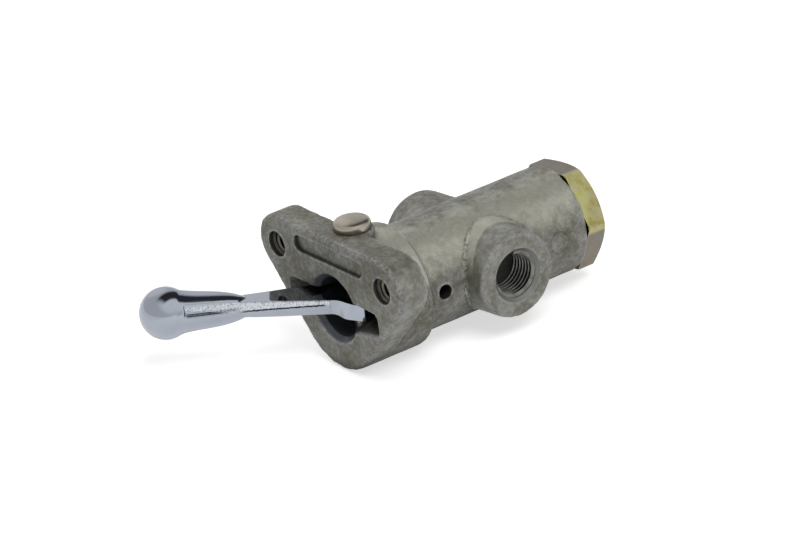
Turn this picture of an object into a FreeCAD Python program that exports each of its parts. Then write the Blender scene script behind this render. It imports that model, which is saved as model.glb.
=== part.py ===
import FreeCAD, Part
import math
import os

from FreeCAD import Vector

# Hand lever valve for a dashboard. Millimetres.
# The origin is where the valve's axis leaves the front face of the flange.
# +Y runs back along the axis, +X towards the delivery port, +Z towards the head of the pivot pin.

# Flange, collar and barrel of the cast body
SCREW_SPACING = 36.2
SCREW_HEIGHT = 9.3
SCREW_HOLE_R = 2.4
SCREW_MOUTH_R = 2.8
SCREW_MOUTH_DEPTH = 1.0
EAR_R = 6.35
FLANGE_DEPTH = 7.0
FRONT_ROUNDING = 0.9
BACK_ROUNDING = 0.5
COLLAR_R = 13.55
COLLAR_LENGTH = 16.3
COLLAR_ROUNDING = 1.2
RIM_WALL = 1.4
BODY_LENGTH = 57.7
RIM_ROUNDING = 0.9

# Pad on the front face
PAD_WIDTH = 23.4
PAD_HEIGHT = 3.6
PAD_CENTRE_HEIGHT = 11.75
PAD_DEPTH = 0.9

# Pipe ports
PORT_Y = 34.7
PORT_FACE_X = 17.0
PORT_BOSS_FACE_R = 9.2
PORT_BOSS_DRAFT = 0.069
PORT_ROUNDING = 1.0
PORT_ROOT_FILLET = 1.2
PORT_BORE_R = 5.1
PORT_BORE_DEPTH = 7.6
PORT_MOUTH_R = 5.8
PORT_PASSAGE_R = 1.7
PORT_PASSAGE_OFFSET = 3.1
VENT_R = 1.6
VENT_Y = 19.9

# Lever slot and the bores along the axis
BORE_R = 6.5
MOUTH_R = 7.7
MOUTH_DEPTH = 1.25
SLOT_HALF_WIDTH = 14.9
SLOT_SHOULDER_X = 6.4
SLOT_END_TOP = 2.75
SLOT_SHOULDER_TOP = 2.95
SLOT_END_BOTTOM = 1.95
SLOT_SHOULDER_BOTTOM = 3.35
SLOT_LIP = 0.35
SLOT_LIP_DEPTH = 0.6
SLOT_BACK_HALF_WIDTH = 8.5
SLOT_DEPTH = 13.9
WEB_FRONT_Y = 24.0
WEB_BACK_Y = 29.5
DELIVERY_CHAMBER_R = 5.0
SEAT_WEB_Y = 33.5
SUPPLY_FLOOR_Y = 35.4
SUPPLY_CHAMBER_R = 7.0
THREAD_DEPTH = 9.2
NUT_SHANK_R = 8.55
CAP_SEAL_R = 0.8
SEAL_ROOM = 0.15

# Pivot pin and lever
PIVOT_Y = 7.0
PIN_R = 1.95
PIN_HEAD_R = 4.05
PIN_HEAD_THICKNESS = 2.1
PIN_CROWN_REACH = 3.45
PIN_CROWN_SAG = 0.21
PIN_BOSS_R = 4.5
TAIL_R = 2.9
TAIL_RECESS = 1.2
LEVER_SWING = 79.6
LEVER_REACH = 40.5
LEVER_THICKNESS = 3.55
LEVER_RISE = 0.175
LEVER_PARTING = 1.35
LEVER_EDGE = 0.3
BLADE_START = 15.1
BLADE_START_TOP = 1.9
BLADE_START_BOTTOM = 2.15
BLADE_END_TOP = 4.6
BLADE_END_BOTTOM = 3.5
BALL_R = 5.55
NECK_R = 4.2
NECK_START = 3.1
NECK_END = 17.6
NECK_FLAT_START = 4.4
NECK_FLAT_HALF = 3.2
CAM_LIFT_START = 4.5
CAM_EAR_REACH = 8.25
CAM_NECK_REACH = 6.1

# Plunger, inlet valve and cap nut
PLUNGER_STROKE = 2.0
PLUNGER_HEAD_LENGTH = 5.7
STEM_R = 3.3
STEM_BORE_R = 1.4
TIP_R = 2.6
TIP_LENGTH = 4.2
EXHAUST_GAP = 0.7
SEAL_SECTION_R = 0.57
SEAT_BORE_R = 3.6
SEAT_LIP = 0.7
SEAT_LIP_HEIGHT = 0.6
SEAT_INSERT_R = 5.6
DISC_R = 5.0
DISC_THICKNESS = 1.6
HOLDER_WALL = 0.6
HOLDER_LENGTH = 3.0
GUIDE_RIB_WIDTH = 1.6
HOLDER_STEM_R = 2.2
HOLDER_STEM_LENGTH = 3.8
WASHER_THICKNESS = 0.8
RETURN_WIRE_R = 0.45
RETURN_COIL_R = 4.75
RETURN_TURNS = 3.2
INLET_WIRE_R = 0.35
INLET_COIL_R = 3.3
INLET_TURNS = 5.2
NUT_ACROSS_FLATS = 21.2
NUT_HEAD = 5.2
NUT_TURN = 3.2
NUT_SHANK_LENGTH = 8.2
NUT_POCKET_R = 4.3
NUT_POCKET_LENGTH = 5.1

# Named clearances
RUNNING_CLEARANCE = 0.06
PIN_CLEARANCE = 0.05
FIXED_CLEARANCE = 0.02
THREAD_CLEARANCE = 0.05
CAM_CLEARANCE = 0.05
SLOT_CLEARANCE = 0.2
SEAL_CLEARANCE = 0.03

# Worked out from the sizes above
HALF_SWING = LEVER_SWING / 2
FLANGE_TOP = SCREW_HEIGHT + EAR_R
SEAL_BORE_R = NUT_SHANK_R + 2 * CAP_SEAL_R + SEAL_ROOM
SEAL_BORE_DEPTH = 2 * CAP_SEAL_R
BARREL_R = SEAL_BORE_R + RIM_WALL
THREAD_FLOOR_Y = BODY_LENGTH - THREAD_DEPTH
SEAT_Y = SUPPLY_FLOOR_Y + SEAT_LIP_HEIGHT
PLUNGER_FRONT = PIVOT_Y + CAM_LIFT_START + CAM_CLEARANCE
PLUNGER_HEAD_R = BORE_R - RUNNING_CLEARANCE
PLUNGER_BACK = PLUNGER_FRONT + PLUNGER_HEAD_LENGTH
TIP_Y = SEAT_Y - EXHAUST_GAP
HOLDER_BACK = SEAT_Y + SEAT_LIP_HEIGHT + HOLDER_LENGTH
NUT_SHANK_FRONT = BODY_LENGTH - NUT_SHANK_LENGTH
NUT_POCKET_FLOOR = NUT_SHANK_FRONT + NUT_POCKET_LENGTH
LEVER_TOP = LEVER_RISE + LEVER_THICKNESS / 2
LEVER_BOTTOM = LEVER_TOP - LEVER_THICKNESS
PARTING_Z = LEVER_TOP - LEVER_PARTING
SLOT_TOP = LEVER_TOP + SLOT_CLEARANCE
SLOT_BOTTOM = -LEVER_BOTTOM + SLOT_CLEARANCE
OVERCUT = 1.0

X_AXIS = Vector(1, 0, 0)
Y_AXIS = Vector(0, 1, 0)
Z_AXIS = Vector(0, 0, 1)


def turned(profile):
    """Solid of revolution about the valve's axis from (radius, y) points."""
    points = [Vector(radius, y, 0) for radius, y in profile]
    face = Part.Face(Part.makePolygon(points + points[:1]))
    return face.revolve(Vector(0, 0, 0), Y_AXIS, 360)


def rod(radius, start, end):
    """Cylinder on the valve's axis from y = start to y = end."""
    return Part.makeCylinder(radius, end - start, Vector(0, start, 0), Y_AXIS)


def side_rod(radius, start, end, y):
    """Cylinder along X at height zero, from x = start to x = end."""
    return Part.makeCylinder(radius, end - start, Vector(start, y, 0), X_AXIS)


def prism_y(points, start, end):
    """Extrusion along Y of an outline given as (x, z) points."""
    corners = [Vector(x, start, z) for x, z in points]
    face = Part.Face(Part.makePolygon(corners + corners[:1]))
    return face.extrude(Vector(0, end - start, 0))


def seal_ring(centre_r, section_r, y):
    """Sealing ring on the valve's axis, its section an octagon."""
    corners = [math.radians(45 * turn) for turn in range(8)]
    profile = [(math.cos(angle), math.sin(angle)) for angle in corners]
    return turned([(centre_r + section_r * out, y + section_r * up) for out, up in profile])


def round_edges(solid, radius, chosen):
    """Fillet the edges that the test picks."""
    edges = [edge for edge in solid.Edges if chosen(edge)]
    return solid.makeFillet(radius, edges)


def lies_at_y(edge, y):
    box = edge.BoundBox
    return abs(box.YMin - y) < 1e-4 and abs(box.YMax - y) < 1e-4


def at_angle(centre_x, centre_z, radius, degrees, y):
    angle = math.radians(degrees)
    x = centre_x + radius * math.cos(angle)
    z = centre_z + radius * math.sin(angle)
    return Vector(x, y, z)


def arc(centre_x, centre_z, radius, first, last, y):
    """Arc in a plane of constant y, between two angles in degrees."""
    places = [first, (first + last) / 2, last]
    points = [at_angle(centre_x, centre_z, radius, place, y) for place in places]
    return Part.Arc(*points).toShape()


def flange_outline(y):
    """Rounded triangle: two ears on top, one large round below, tangent sides."""
    ear_x = SCREW_SPACING / 2
    reach = math.hypot(ear_x, SCREW_HEIGHT)
    lean = math.degrees(math.acos((COLLAR_R - EAR_R) / reach))
    side = math.degrees(math.atan2(SCREW_HEIGHT, ear_x)) - lean
    right_ear = arc(ear_x, SCREW_HEIGHT, EAR_R, 90, side, y)
    below = arc(0, 0, COLLAR_R, side, -180 - side, y)
    left_ear = arc(-ear_x, SCREW_HEIGHT, EAR_R, 180 - side, 90, y)
    curves = [right_ear, below, left_ear]
    edges = []
    for curve, following in zip(curves, curves[1:] + curves[:1]):
        edges.append(curve)
        start = curve.Vertexes[-1].Point
        end = following.Vertexes[0].Point
        edges.append(Part.makeLine(start, end))
    return Part.Wire(edges)


def flange():
    plate = Part.Face(flange_outline(0)).extrude(Vector(0, FLANGE_DEPTH, 0))
    plate = round_edges(plate, FRONT_ROUNDING, lambda edge: lies_at_y(edge, 0))
    return round_edges(plate, BACK_ROUNDING, lambda edge: lies_at_y(edge, FLANGE_DEPTH))


def collar():
    start = FLANGE_DEPTH - 2 * BACK_ROUNDING
    solid = rod(COLLAR_R, start, COLLAR_LENGTH)
    return round_edges(solid, COLLAR_ROUNDING, lambda edge: lies_at_y(edge, COLLAR_LENGTH))


def barrel():
    solid = rod(BARREL_R, FLANGE_DEPTH, BODY_LENGTH)
    return round_edges(solid, RIM_ROUNDING, lambda edge: lies_at_y(edge, BODY_LENGTH))


def port_boss(side):
    """Round boss with draft, its rounded face square to X."""
    root_r = PORT_BOSS_FACE_R + PORT_FACE_X * PORT_BOSS_DRAFT
    centre = Vector(0, PORT_Y, 0)
    boss = Part.makeCone(root_r, PORT_BOSS_FACE_R, PORT_FACE_X, centre, X_AXIS * side)
    face_x = side * PORT_FACE_X

    def on_face(edge):
        box = edge.BoundBox
        return abs(box.XMin - face_x) < 1e-4 and abs(box.XMax - face_x) < 1e-4

    return round_edges(boss, PORT_ROUNDING, on_face)


def pin_boss():
    """Boss behind the flange that carries the head of the pivot pin."""
    base = Vector(0, PIVOT_Y, BORE_R)
    return Part.makeCylinder(PIN_BOSS_R, FLANGE_TOP - BORE_R, base, Z_AXIS)


def body_casting():
    trunk = barrel().fuse([port_boss(1), port_boss(-1)]).removeSplitter()
    trunk = round_edges(trunk, PORT_ROOT_FILLET, is_boss_root)
    return trunk.fuse([flange(), collar(), pin_boss()]).removeSplitter()


def is_boss_root(edge):
    """The two saddle-shaped edges where the port bosses meet the barrel."""
    box = edge.BoundBox
    away_from_face = max(abs(box.XMin), abs(box.XMax)) < PORT_FACE_X - 2 * PORT_ROUNDING
    beside_port = box.YMin > PORT_Y - 1.5 * PORT_BOSS_FACE_R
    return away_from_face and beside_port and box.YMax < PORT_Y + 1.5 * PORT_BOSS_FACE_R


def slot_section(y, half_width, tops, bottoms):
    """Eight-cornered outline of the lever slot: its heights at the shoulder and at the end."""
    waist = half_width - 0.8
    upper = [(half_width, tops[1] - 0.7), (waist, tops[1]), (SLOT_SHOULDER_X, tops[0])]
    lower = [(SLOT_SHOULDER_X, -bottoms[0]), (waist, -bottoms[1]), (half_width, 0.7 - bottoms[1])]
    left = [(-x, z) for x, z in reversed(lower + upper)]
    corners = [Vector(x, y, z) for x, z in lower + upper]
    corners += [Vector(x, y, z) for x, z in left]
    return Part.makePolygon(corners + corners[:1])


def slot_mouth(y, lip):
    """The slot's outline near the front face, wider all round by the lip."""
    tops = (SLOT_SHOULDER_TOP + lip, SLOT_END_TOP + lip)
    bottoms = (SLOT_SHOULDER_BOTTOM + lip, SLOT_END_BOTTOM + lip)
    return slot_section(y, SLOT_HALF_WIDTH + lip, tops, bottoms)


def slot_cut():
    """Lever slot: eased and drafted at its mouth, then as deep as the cam needs."""
    neck_y = FLANGE_DEPTH
    neck_width = SLOT_BACK_HALF_WIDTH + 1.2
    tops = (SLOT_TOP, SLOT_TOP - 0.1)
    neck = slot_section(neck_y, neck_width, tops, (SLOT_BOTTOM, SLOT_BOTTOM - 0.1))
    eased = [slot_mouth(-OVERCUT, SLOT_LIP), slot_mouth(0, SLOT_LIP), slot_mouth(SLOT_LIP_DEPTH, 0)]
    entry = Part.makeLoft(eased + [neck], True, True)
    back = [(neck_width, neck_y - 0.01), (SLOT_BACK_HALF_WIDTH, SLOT_DEPTH)]
    outline = back + [(-x, y) for x, y in reversed(back)]
    corners = [Vector(x, y, -SLOT_BOTTOM) for x, y in outline]
    pocket = Part.Face(Part.makePolygon(corners + corners[:1]))
    return entry.fuse(pocket.extrude(Vector(0, 0, SLOT_TOP + SLOT_BOTTOM)))


def axial_bores():
    """Everything that is bored along the axis, from both ends."""
    mouth = Part.makeCone(MOUTH_R, BORE_R, MOUTH_DEPTH, Vector(0, 0, 0), Y_AXIS)
    front = rod(BORE_R, -OVERCUT, WEB_FRONT_Y)
    guide = rod(STEM_R + RUNNING_CLEARANCE, WEB_FRONT_Y - OVERCUT, WEB_BACK_Y + OVERCUT)
    delivery = rod(DELIVERY_CHAMBER_R, WEB_BACK_Y, SEAT_WEB_Y)
    seat_pocket = rod(SEAT_INSERT_R + FIXED_CLEARANCE, SEAT_WEB_Y, SUPPLY_FLOOR_Y + OVERCUT)
    supply = rod(SUPPLY_CHAMBER_R, SUPPLY_FLOOR_Y, THREAD_FLOOR_Y + OVERCUT)
    thread = rod(NUT_SHANK_R + THREAD_CLEARANCE, THREAD_FLOOR_Y, BODY_LENGTH + OVERCUT)
    seal = rod(SEAL_BORE_R, BODY_LENGTH - SEAL_BORE_DEPTH, BODY_LENGTH + OVERCUT)
    return [mouth, front, guide, delivery, seat_pocket, supply, thread, seal]


def port_bores(side):
    """Tapped bore with a countersunk mouth, and its passage to one chamber."""
    passage_y = PORT_Y - side * PORT_PASSAGE_OFFSET
    face = Vector(side * PORT_FACE_X, PORT_Y, 0)
    inward = X_AXIS * -side
    sink = PORT_MOUTH_R - PORT_BORE_R
    mouth = Part.makeCone(PORT_MOUTH_R, PORT_BORE_R, sink, face, inward)
    bore = Part.makeCylinder(PORT_BORE_R, PORT_BORE_DEPTH, face, inward)
    bottom = Vector(side * (PORT_FACE_X - PORT_BORE_DEPTH + OVERCUT), passage_y, 0)
    length = PORT_FACE_X - PORT_BORE_DEPTH + OVERCUT - DELIVERY_CHAMBER_R / 2
    passage = Part.makeCylinder(PORT_PASSAGE_R, length, bottom, inward)
    return [mouth, bore, passage]


def screw_hole(side):
    """Tapped hole through an ear with a stepped mouth."""
    x = side * SCREW_SPACING / 2
    start = Vector(x, -OVERCUT, SCREW_HEIGHT)
    bore = Part.makeCylinder(SCREW_HOLE_R, FLANGE_DEPTH + 2 * OVERCUT, start, Y_AXIS)
    mouth = Part.makeCylinder(SCREW_MOUTH_R, SCREW_MOUTH_DEPTH + OVERCUT, start, Y_AXIS)
    step = Vector(x, SCREW_MOUTH_DEPTH, SCREW_HEIGHT)
    sink = SCREW_MOUTH_R - SCREW_HOLE_R
    return [bore, mouth, Part.makeCone(SCREW_MOUTH_R, SCREW_HOLE_R, sink, step, Y_AXIS)]


def pad_cut():
    """Shallow bare recess with round ends."""
    reach = (PAD_WIDTH - PAD_HEIGHT) / 2
    radius = PAD_HEIGHT / 2
    right = arc(reach, PAD_CENTRE_HEIGHT, radius, 90, -90, 0)
    left = arc(-reach, PAD_CENTRE_HEIGHT, radius, 270, 90, 0)
    below = Part.makeLine(right.Vertexes[-1].Point, left.Vertexes[0].Point)
    above = Part.makeLine(left.Vertexes[-1].Point, right.Vertexes[0].Point)
    outline = Part.Face(Part.Wire([right, below, left, above]))
    return outline.extrude(Vector(0, PAD_DEPTH, 0))


def pin_bores():
    """Bore for the pivot pin and the recess for its formed tail."""
    base = Vector(0, PIVOT_Y, -COLLAR_R - OVERCUT)
    height = COLLAR_R + FLANGE_TOP + 2 * OVERCUT
    bore = Part.makeCylinder(PIN_R + FIXED_CLEARANCE, height, base, Z_AXIS)
    recess_r = TAIL_R + FIXED_CLEARANCE
    recess = Part.makeCylinder(recess_r, TAIL_RECESS + OVERCUT, base, Z_AXIS)
    return [bore, recess]


def valve_body():
    vent = side_rod(VENT_R, BORE_R / 2, BARREL_R + OVERCUT, VENT_Y)
    cuts = axial_bores() + port_bores(1) + port_bores(-1)
    cuts += screw_hole(1) + screw_hole(-1) + pin_bores() + [slot_cut(), pad_cut(), vent]
    return body_casting().cut(cuts).removeSplitter()


def pivot_pin():
    """Domed head, plain shank and formed tail, turned about the pivot."""
    tail_z = -COLLAR_R + TAIL_RECESS
    crown_r = (PIN_CROWN_REACH ** 2 + PIN_CROWN_SAG ** 2) / (2 * PIN_CROWN_SAG)
    half_sag = crown_r - math.sqrt(crown_r ** 2 - PIN_CROWN_REACH ** 2 / 4)

    def head_point(radius, below_top):
        return Vector(radius, 0, FLANGE_TOP + PIN_HEAD_THICKNESS - below_top)

    under = head_point(0.94 * PIN_HEAD_R, PIN_HEAD_THICKNESS)
    shoulder = head_point(PIN_HEAD_R, 0.55 * PIN_HEAD_THICKNESS)
    corner = head_point(0.96 * PIN_HEAD_R, 0.27 * PIN_HEAD_THICKNESS)
    edge = head_point(PIN_CROWN_REACH, PIN_CROWN_SAG)
    top = head_point(0, 0)
    rounding = Part.Arc(shoulder, corner, edge).toShape()
    crown = Part.Arc(edge, head_point(PIN_CROWN_REACH / 2, half_sag), top).toShape()
    tail = [(0, tail_z - 0.8), (0.75 * TAIL_R, tail_z - 0.7), (TAIL_R, tail_z - 0.35), (TAIL_R, tail_z)]
    lower = [Vector(x, 0, z) for x, z in tail + [(PIN_R, tail_z), (PIN_R, FLANGE_TOP)]]
    corners = Part.makePolygon([top] + lower + [under, shoulder])
    pin = Part.Face(Part.Wire([corners, rounding, crown])).revolve(Vector(0, 0, 0), Z_AXIS, 360)
    pin.translate(Vector(0, PIVOT_Y, 0))
    return pin


def cam_point(degrees):
    """Point of the cam whose flat follower rises in step with the swing."""
    angle = math.radians(degrees)
    rise = PLUNGER_STROKE / math.radians(LEVER_SWING)
    lift = CAM_LIFT_START + rise * math.radians(degrees + HALF_SWING)
    x = lift * math.sin(angle) + rise * math.cos(angle)
    y = lift * math.cos(angle) - rise * math.sin(angle)
    return Vector(x, y, 0)


def smooth(points):
    curve = Part.BSplineCurve()
    curve.interpolate(points)
    return curve.toShape()


def cam_outline(bar_half, corner, shoulder, z):
    """The lever's head seen along the pivot, the blade running towards -Y."""
    steps = 8
    places = [-HALF_SWING + LEVER_SWING * step / steps for step in range(steps + 1)]
    track = [cam_point(place) for place in reversed(places)]
    reach = CAM_EAR_REACH
    bar_right = Vector(bar_half, -CAM_NECK_REACH, 0)
    ear_tip = Vector(reach, 0.05 * reach, 0)
    ear_back = Vector(0.985 * reach, 0.16 * reach, 0)
    bar_left = Vector(-bar_half, -CAM_NECK_REACH, 0)
    heel = Vector(-PIN_R - 1.25, -0.9, 0)
    heel_back = Vector(-PIN_R - 0.75, 2.4, 0)
    heel_front = Vector((-bar_half - PIN_R - 1.25) / 2, -3.6, 0)
    neck = smooth([bar_right, corner, shoulder, Vector(0.9 * reach, -0.16 * reach, 0), ear_tip])
    ear = Part.makeLine(ear_tip, ear_back)
    flank = Part.makeLine(ear_back, track[0])
    heel_curve = smooth([track[-1], heel_back, heel, heel_front, bar_left])
    closing = Part.makeLine(bar_left, bar_right)
    wire = Part.Wire([neck, ear, flank, smooth(track), heel_curve, closing])
    wire.translate(Vector(0, 0, z))
    return wire


def cam_plate():
    """Head of the lever: the cam's track is square to the plate, its ear is drafted."""
    lower_corner = Vector(BLADE_END_BOTTOM + 0.85, -4.65, 0)
    lower = cam_outline(BLADE_END_BOTTOM, lower_corner, Vector(6.4, -3.1, 0), LEVER_BOTTOM)
    upper_corner = Vector(BLADE_END_TOP + 0.3, -4.4, 0)
    upper = cam_outline(BLADE_END_TOP, upper_corner, Vector(6.0, -3.0, 0), LEVER_TOP)
    return Part.makeLoft([lower, upper], True, True)


def neck_block(outline, low, high):
    """Block about the lever's middle from (half width, distance from the ball) points."""
    points = outline + [(-x, y) for x, y in reversed(outline)]
    corners = [Vector(x, y - LEVER_REACH, low) for x, y in points]
    return Part.Face(Part.makePolygon(corners + corners[:1])).extrude(Vector(0, 0, high - low))


def neck_flats():
    """What is left of the neck above the parting plane, its sides sheared flat."""
    near = (BLADE_START_TOP + NECK_FLAT_HALF) / 2
    outline = [(BALL_R, 0), (BALL_R, NECK_FLAT_START), (NECK_FLAT_HALF, NECK_FLAT_START)]
    outline += [(near, 0.72 * BLADE_START), (BLADE_START_TOP, BLADE_START)]
    outline += [(BLADE_START_TOP, NECK_END + OVERCUT)]
    return neck_block(outline, PARTING_Z, BALL_R)


def lever_neck():
    """Drop-shaped neck, round below and sheared flat on both sides above."""
    ball_y = -LEVER_REACH
    start = Vector(math.sqrt(BALL_R ** 2 - NECK_START ** 2), ball_y + NECK_START, 0)
    swell = Vector(NECK_R, ball_y + 5.7, 0)
    middle = Vector(0.91 * NECK_R, ball_y + 9.5, 0)
    waist = Vector(math.hypot(BLADE_START_TOP, LEVER_TOP), ball_y + BLADE_START, 0)
    end = Vector(-LEVER_BOTTOM - 0.05, ball_y + NECK_END, 0)
    axis_end = Vector(0, ball_y + NECK_END, 0)
    axis_start = Vector(0, ball_y + NECK_START, 0)
    lines = Part.makePolygon([end, axis_end, axis_start, start])
    profile = Part.Wire([smooth([start, swell, middle, waist, end]), lines])
    neck = Part.Face(profile).revolve(Vector(0, 0, 0), Y_AXIS, 360)
    below = neck_block([(BALL_R, 0), (BALL_R, NECK_END + OVERCUT)], -BALL_R, PARTING_Z)
    return [neck.common(neck_flats()), neck.common(below)]


def blade_outline(start, end, z):
    first = BLADE_START - LEVER_REACH
    last = -CAM_NECK_REACH + 0.01
    points = [(start, first), (end, last), (-end, last), (-start, first)]
    corners = [Vector(x, y, z) for x, y in points]
    return Part.makePolygon(corners + corners[:1])


def lever_blade():
    """Blade that widens towards the cam: square above the parting plane, drafted below."""
    middle = blade_outline(BLADE_START_TOP, BLADE_END_TOP, PARTING_Z)
    lowest = blade_outline(BLADE_START_BOTTOM, BLADE_END_BOTTOM, LEVER_BOTTOM)
    upper = Part.Face(middle).extrude(Vector(0, 0, LEVER_TOP - PARTING_Z))

    def on_top(edge):
        box = edge.BoundBox
        return box.YLength > 1 and box.ZMin > LEVER_TOP - 1e-4

    upper = round_edges(upper, LEVER_EDGE, on_top)
    return upper.fuse(Part.makeLoft([lowest, middle], True, True))


def control_lever():
    ball = Part.makeSphere(BALL_R, Vector(0, -LEVER_REACH, 0))
    hole_base = Vector(0, 0, LEVER_BOTTOM - OVERCUT)
    hole = Part.makeCylinder(PIN_R + PIN_CLEARANCE, 2 * LEVER_THICKNESS, hole_base, Z_AXIS)
    lever = ball.fuse(lever_neck() + [lever_blade(), cam_plate()]).removeSplitter()
    lever = lever.cut(hole)
    lever.rotate(Vector(0, 0, 0), Z_AXIS, -HALF_SWING)
    lever.translate(Vector(0, PIVOT_Y, 0))
    return lever


def front_groove():
    """Middle and half width of the groove for the seal on the plunger's head."""
    half = SEAL_SECTION_R + 0.3
    return SLOT_DEPTH + 0.3 + half, half


def stem_groove():
    """Middle and half width of the groove for the seal on the stem."""
    half = SEAL_SECTION_R + 0.3
    middle = (WEB_FRONT_Y + WEB_BACK_Y - PLUNGER_STROKE) / 2
    return middle, half


def groove_floor(bore_r):
    return bore_r - SEAL_CLEARANCE - 2 * SEAL_SECTION_R - FIXED_CLEARANCE


def groove_cut(outer_r, bore_r, place):
    middle, half = place
    ring = rod(outer_r + OVERCUT, middle - half, middle + half)
    return ring.cut(rod(groove_floor(bore_r), middle - half, middle + half))


def plunger():
    """Follower head, hollow stem with an exhaust tip and cross holes."""
    tip_start = TIP_Y - TIP_LENGTH
    profile = [(0, PLUNGER_FRONT), (PLUNGER_HEAD_R - 0.4, PLUNGER_FRONT)]
    profile += [(PLUNGER_HEAD_R, PLUNGER_FRONT + 0.4), (PLUNGER_HEAD_R, PLUNGER_BACK)]
    profile += [(STEM_R, PLUNGER_BACK), (STEM_R, tip_start), (TIP_R, tip_start + 0.7)]
    profile += [(TIP_R, TIP_Y - 0.3), (TIP_R - 0.3, TIP_Y), (STEM_BORE_R, TIP_Y)]
    bore_floor = PLUNGER_BACK + 1.2
    profile += [(STEM_BORE_R, bore_floor + 0.6), (0, bore_floor)]
    cross_y = bore_floor + 2.2
    cross = side_rod(0.8 * STEM_BORE_R, -2 * STEM_R, 2 * STEM_R, cross_y)
    head_groove = groove_cut(PLUNGER_HEAD_R, BORE_R, front_groove())
    tail_groove = groove_cut(STEM_R, STEM_R + RUNNING_CLEARANCE, stem_groove())
    return turned(profile).cut([cross, head_groove, tail_groove])


def groove_seal(bore_r, place):
    return seal_ring(bore_r - SEAL_CLEARANCE - SEAL_SECTION_R, SEAL_SECTION_R, place[0])


def spring_washer():
    """Hardened washer between the return spring and the cast web."""
    outer = rod(BORE_R - RUNNING_CLEARANCE, WEB_FRONT_Y - WASHER_THICKNESS, WEB_FRONT_Y)
    return outer.cut(rod(STEM_R + 0.3, WEB_FRONT_Y - OVERCUT, WEB_FRONT_Y + OVERCUT))


def coil_spring(start, end, coil_r, wire_r, turns):
    """Compression spring between two seats, its wire drawn with six sides."""
    length = end - start - 2 * wire_r
    path = Part.makeHelix(length / turns, length, coil_r)
    corners = [at_angle(coil_r, 0, wire_r, 60 * side, 0) for side in range(6)]
    section = Part.makePolygon(corners + corners[:1])
    spring = Part.Wire(path.Edges).makePipeShell([section], True, True)
    spring.rotate(Vector(0, 0, 0), X_AXIS, -90)
    spring.translate(Vector(0, start + wire_r, 0))
    return spring


def inlet_seat():
    """Turned insert in the web, its raised lip facing the inlet valve."""
    lip_r = SEAT_BORE_R + SEAT_LIP
    profile = [(SEAT_BORE_R, SEAT_WEB_Y), (SEAT_INSERT_R, SEAT_WEB_Y)]
    profile += [(SEAT_INSERT_R, SUPPLY_FLOOR_Y), (lip_r + 0.3, SUPPLY_FLOOR_Y)]
    profile += [(lip_r, SEAT_Y), (SEAT_BORE_R, SEAT_Y)]
    return turned(profile)


def valve_disc():
    return rod(DISC_R, SEAT_Y, SEAT_Y + DISC_THICKNESS)


def valve_holder():
    """Cup for the rubber disc, with guide ribs and a stem inside the spring."""
    front = SEAT_Y + SEAT_LIP_HEIGHT
    cup_r = DISC_R + FIXED_CLEARANCE + HOLDER_WALL
    cup = rod(cup_r, front, HOLDER_BACK)
    stem_end = HOLDER_BACK + HOLDER_STEM_LENGTH
    stem = rod(HOLDER_STEM_R, HOLDER_BACK - OVERCUT, stem_end)
    stem = round_edges(stem, 0.5, lambda edge: lies_at_y(edge, stem_end))
    reach = SUPPLY_CHAMBER_R - RUNNING_CLEARANCE
    disc = rod(reach, front, HOLDER_BACK)
    ribs = []
    for quarter in range(2):
        half = GUIDE_RIB_WIDTH / 2
        bar = Part.makeBox(2 * reach, HOLDER_LENGTH, 2 * half, Vector(-reach, front, -half))
        bar.rotate(Vector(0, 0, 0), Y_AXIS, 45 + 90 * quarter)
        ribs.append(bar.common(disc))
    pocket = rod(DISC_R + FIXED_CLEARANCE, front - OVERCUT, SEAT_Y + DISC_THICKNESS)
    return cup.fuse(ribs + [stem]).cut(pocket).removeSplitter()


def cap_nut():
    """Hexagon head with a chamfered back, threaded shank and spring pocket."""
    corner_r = NUT_ACROSS_FLATS / math.sqrt(3)
    corners = [at_angle(0, 0, corner_r, NUT_TURN + 60 * turn, 0) for turn in range(6)]
    back = BODY_LENGTH + NUT_HEAD
    head = prism_y([(point.x, point.z) for point in corners], BODY_LENGTH, back)
    face_r = NUT_ACROSS_FLATS / 2 - 0.3
    slope = math.tan(math.radians(30))
    drop = (corner_r + OVERCUT - face_r) * slope
    shoulder = (corner_r + OVERCUT, back - drop)
    washer_r = corner_r - 0.35
    front = [(0, BODY_LENGTH), (washer_r, BODY_LENGTH), (corner_r + OVERCUT, BODY_LENGTH + 0.9)]
    envelope = turned(front + [shoulder, (face_r, back), (0, back)])
    shank = rod(NUT_SHANK_R, NUT_SHANK_FRONT, BODY_LENGTH + OVERCUT)
    shank = shank.cut(rod(NUT_POCKET_R, NUT_SHANK_FRONT - OVERCUT, NUT_POCKET_FLOOR))
    return head.common(envelope).fuse(shank).removeSplitter()


def cap_nut_seal():
    centre_r = (NUT_SHANK_R + SEAL_BORE_R) / 2
    return seal_ring(centre_r, CAP_SEAL_R, BODY_LENGTH - SEAL_BORE_DEPTH / 2)


def sub_parts():
    spring_end = WEB_FRONT_Y - WASHER_THICKNESS
    return {
        "valve_body": valve_body(),
        "control_lever": control_lever(),
        "pivot_pin": pivot_pin(),
        "plunger": plunger(),
        "plunger_head_seal": groove_seal(BORE_R, front_groove()),
        "plunger_stem_seal": groove_seal(STEM_R + RUNNING_CLEARANCE, stem_groove()),
        "return_spring": coil_spring(
            PLUNGER_BACK, spring_end, RETURN_COIL_R, RETURN_WIRE_R, RETURN_TURNS
        ),
        "spring_washer": spring_washer(),
        "inlet_seat": inlet_seat(),
        "valve_disc": valve_disc(),
        "valve_holder": valve_holder(),
        "inlet_spring": coil_spring(
            HOLDER_BACK, NUT_POCKET_FLOOR, INLET_COIL_R, INLET_WIRE_R, INLET_TURNS
        ),
        "cap_nut": cap_nut(),
        "cap_nut_seal": cap_nut_seal(),
    }


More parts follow.
